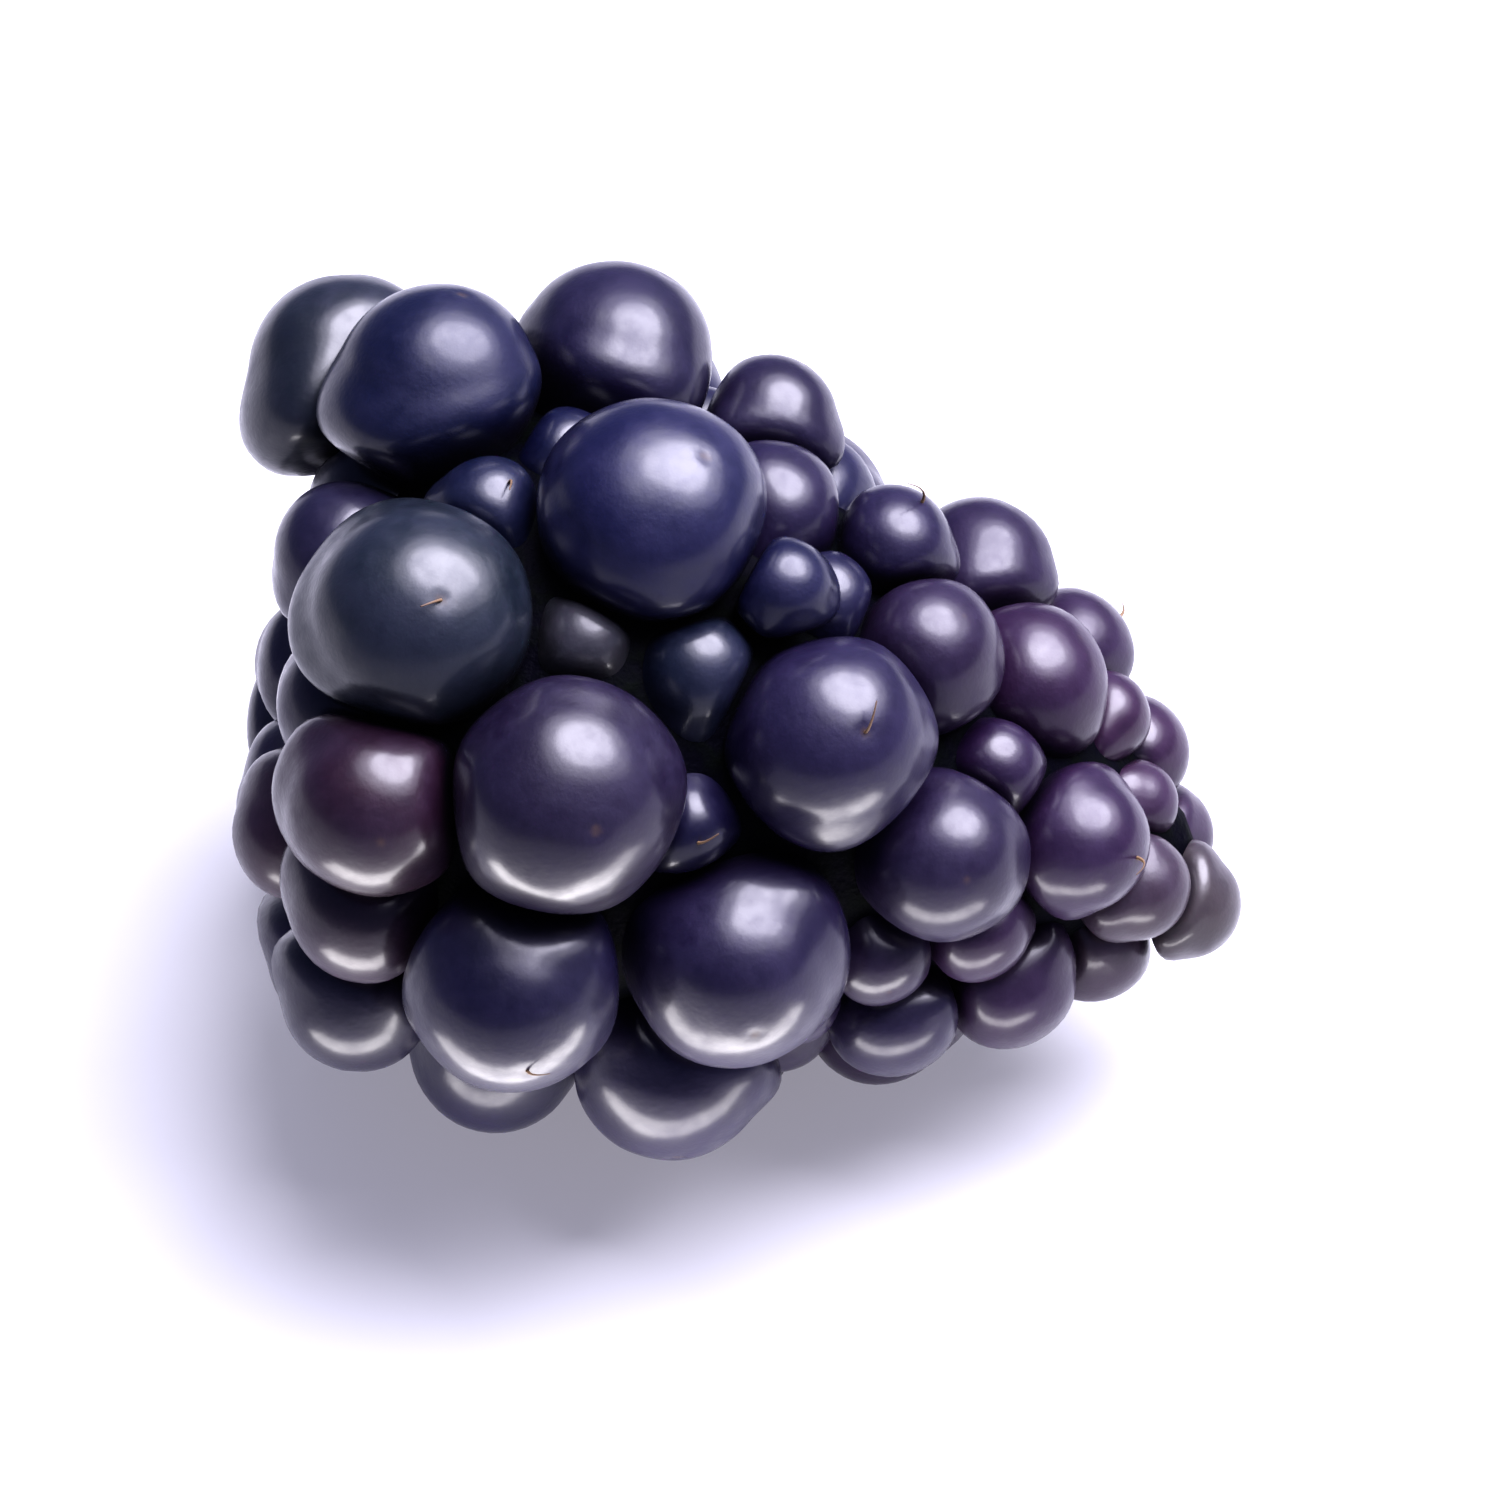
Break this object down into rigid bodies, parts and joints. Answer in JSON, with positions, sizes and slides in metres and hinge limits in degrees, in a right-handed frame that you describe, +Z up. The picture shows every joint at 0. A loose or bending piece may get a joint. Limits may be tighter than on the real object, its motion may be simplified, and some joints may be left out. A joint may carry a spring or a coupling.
{
  "type": "bramble berry",
  "caption": "Ripe bramble berry as picked: a short blunt cone of glossy dark drupelets round a pale receptacle end, lying on its side.",
  "frame": {"origin": "on the surface that the berry rests on, under the middle of its box", "axes": "+Z up from the surface; +X from the broken stem end to the tip, which dips about 13.5 degrees towards the surface"},
  "size_m": [0.0225, 0.02, 0.0192],
  "materials": {
    "ripe_skin": "glossy blue-black skin with a thin bloom",
    "pith": "moist pale pith, fibrous"
  },
  "bodies": {
    "root": {"drupelets": "ripe_skin", "receptacle": "pith"}
  },
  "joints": []
}
